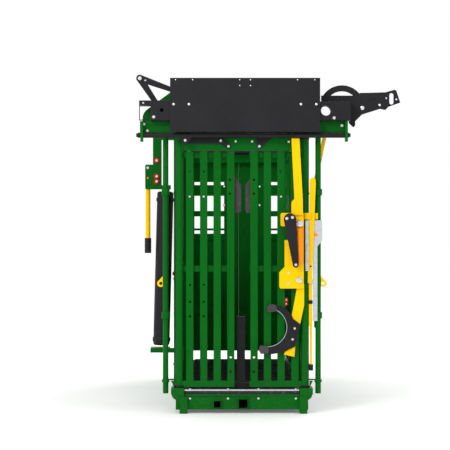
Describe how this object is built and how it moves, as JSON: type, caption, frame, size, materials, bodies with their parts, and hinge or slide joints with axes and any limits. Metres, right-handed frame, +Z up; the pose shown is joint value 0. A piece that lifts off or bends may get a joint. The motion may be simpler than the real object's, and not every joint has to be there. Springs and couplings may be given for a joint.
{
  "type": "cattle squeeze chute",
  "caption": "Steel cattle squeeze chute: swinging slatted head gate with head holder, hand levers, parallel squeeze walls, fold-down side panels, neck gates and a split tail gate.",
  "frame": {"origin": "on the ground, under the pad in the middle of the base", "axes": "+X to the right seen from the head gate, +Y along the chute towards the tail gate, +Z up"},
  "size_m": [1.7909, 3, 2.2969],
  "materials": {
    "green_paint": "deep green gloss enamel",
    "yellow_paint": "yellow gloss enamel",
    "orange_paint": "orange gloss enamel",
    "black_coat": "satin black powder coat",
    "zinc_steel": "zinc plated",
    "black_rubber": "ribbed black rubber",
    "pad_rubber": "matt dark grey rubber"
  },
  "bodies": {
    "frame": {"base_front_beam": "green_paint", "base_rear_beam": "green_paint", "base_middle_beam": "green_paint", "skid_rail_left": "green_paint", "skid_rail_right": "green_paint", "floor_deck": "green_paint", "floor_mat": "black_rubber", "sill_strip": "zinc_steel", "hinge_post_left": "green_paint", "hinge_post_right": "green_paint", "side_tube_left": "green_paint", "side_tube_right": "green_paint", "tie_ring_left": "yellow_paint", "tie_ring_right": "yellow_paint", "middle_post_left": "green_paint", "middle_post_right": "green_paint", "rear_post_left": "green_paint", "rear_post_right": "green_paint", "top_rail_left": "green_paint", "top_rail_right": "green_paint", "guide_tube_front": "zinc_steel", "guide_tube_rear": "zinc_steel", "header_beam": "green_paint", "sign_panel": "black_coat", "header_box_left": "black_coat", "header_box_right": "black_coat", "rear_header": "green_paint", "chin_post": "black_coat", "lever_bracket": "yellow_paint", "ratchet_plate": "zinc_steel", "latch_strap": "yellow_paint", "lever_mount": "green_paint", "canister": "black_coat"},
    "door_left_body": {"door_left": "green_paint", "neck_pad_left": "pad_rubber"},
    "door_right_body": {"door_right": "green_paint", "neck_pad_right": "pad_rubber", "holder_plate": "yellow_paint", "holder_arm": "yellow_paint", "holder_strut": "orange_paint", "holder_link": "black_coat"},
    "yoke_body": {"yoke_arm": "yellow_paint", "head_yoke": "black_coat"},
    "shaft_body": {"torque_shaft": "black_coat"},
    "link_left_body": {"gate_link_left": "black_coat"},
    "link_right_body": {"gate_link_right": "black_coat"},
    "release_lever_body": {"release_lever": "yellow_paint"},
    "release_rod_body": {"release_rod": "yellow_paint"},
    "squeeze_lever_body": {"squeeze_lever": "yellow_paint"},
    "top_lever_body": {"top_lever": "black_coat"},
    "top_crank_body": {"top_crank": "black_coat"},
    "wall_left_body": {"squeeze_wall_left": "green_paint"},
    "wall_right_body": {"squeeze_wall_right": "green_paint"},
    "panel_left_body": {"side_panel_left": "green_paint"},
    "panel_right_body": {"side_panel_right": "green_paint"},
    "neck_gate_left_body": {"neck_gate_left": "green_paint"},
    "neck_gate_right_body": {"neck_gate_right": "green_paint"},
    "tail_left_body": {"tail_gate_left": "green_paint"},
    "tail_right_body": {"tail_gate_right": "green_paint"}
  },
  "joints": [
    {"name": "door_right_swing", "type": "hinge", "parent": "frame", "child": "door_right_body", "pos_m": [0.426, -1.385, 1], "axis": [0, 0, 1], "range_deg": [0, 70]},
    {"name": "door_left_swing", "type": "hinge", "parent": "frame", "child": "door_left_body", "pos_m": [-0.426, -1.385, 1], "axis": [0, 0, 1], "range_deg": [-70, 0]},
    {"name": "yoke_swing", "type": "hinge", "parent": "door_right_body", "child": "yoke_body", "pos_m": [0.386, -1.43, 0.906], "axis": [0, 1, 0], "range_deg": [0, 75]},
    {"name": "shaft_turn", "type": "hinge", "parent": "frame", "child": "shaft_body", "pos_m": [0, -1.492, 1.884], "axis": [-1, 0, 0], "range_deg": [0, 35]},
    {"name": "gate_link_left_slide", "type": "slide", "parent": "frame", "child": "link_left_body", "axis": [-1, 0, 0], "range_m": [0, 0.05]},
    {"name": "gate_link_right_slide", "type": "slide", "parent": "frame", "child": "link_right_body", "axis": [1, 0, 0], "range_m": [0, 0.05]},
    {"name": "release_lever_swing", "type": "hinge", "parent": "frame", "child": "release_lever_body", "pos_m": [0.466, -1.406, 0.892], "axis": [0, 1, 0], "range_deg": [0, 25]},
    {"name": "release_rod_slide", "type": "slide", "parent": "frame", "child": "release_rod_body", "axis": [0, 0, -1], "range_m": [0, 0.03]},
    {"name": "squeeze_lever_swing", "type": "hinge", "parent": "frame", "child": "squeeze_lever_body", "pos_m": [-0.661, -0.89, 1.683], "axis": [0, 1, 0], "range_deg": [0, 60]},
    {"name": "top_lever_lift", "type": "hinge", "parent": "frame", "child": "top_lever_body", "pos_m": [0.678, -1.43, 2.072], "axis": [0, -1, 0], "range_deg": [0, 25]},
    {"name": "top_crank_lift", "type": "hinge", "parent": "frame", "child": "top_crank_body", "pos_m": [-0.44, -1.43, 2.17], "axis": [0, 1, 0], "range_deg": [0, 20]},
    {"name": "squeeze_left_slide", "type": "slide", "parent": "frame", "child": "wall_left_body", "axis": [1, 0, 0], "range_m": [0, 0.15]},
    {"name": "squeeze_right_slide", "type": "slide", "parent": "frame", "child": "wall_right_body", "axis": [-1, 0, 0], "range_m": [0, 0.15]},
    {"name": "panel_left_fold", "type": "hinge", "parent": "wall_left_body", "child": "panel_left_body", "pos_m": [-0.44, 0.2, 0.205], "axis": [0, -1, 0], "range_deg": [0, 95]},
    {"name": "panel_right_fold", "type": "hinge", "parent": "wall_right_body", "child": "panel_right_body", "pos_m": [0.44, 0.2, 0.205], "axis": [0, 1, 0], "range_deg": [0, 95]},
    {"name": "neck_gate_left_swing", "type": "hinge", "parent": "frame", "child": "neck_gate_left_body", "pos_m": [-0.52, -1.36, 1], "axis": [0, 0, 1], "range_deg": [0, 85]},
    {"name": "neck_gate_right_swing", "type": "hinge", "parent": "frame", "child": "neck_gate_right_body", "pos_m": [0.52, -1.36, 1], "axis": [0, 0, -1], "range_deg": [0, 85]},
    {"name": "tail_left_swing", "type": "hinge", "parent": "frame", "child": "tail_left_body", "pos_m": [-0.44, 1.429, 1], "axis": [0, 0, 1], "range_deg": [0, 100]},
    {"name": "tail_right_swing", "type": "hinge", "parent": "frame", "child": "tail_right_body", "pos_m": [0.44, 1.429, 1], "axis": [0, 0, -1], "range_deg": [0, 100]}
  ],
  "couplings": [
    {"joint": "door_left_swing", "follows": "door_right_swing", "ratio": -1},
    {"joint": "shaft_turn", "follows": "door_right_swing", "ratio": 0.5},
    {"joint": "gate_link_left_slide", "follows": "door_right_swing", "m_per_rad": 0.0368},
    {"joint": "gate_link_right_slide", "follows": "door_right_swing", "m_per_rad": 0.0368},
    {"joint": "release_rod_slide", "follows": "release_lever_swing", "m_per_rad": 0.0687},
    {"joint": "squeeze_right_slide", "follows": "squeeze_left_slide", "ratio": 1}
  ]
}
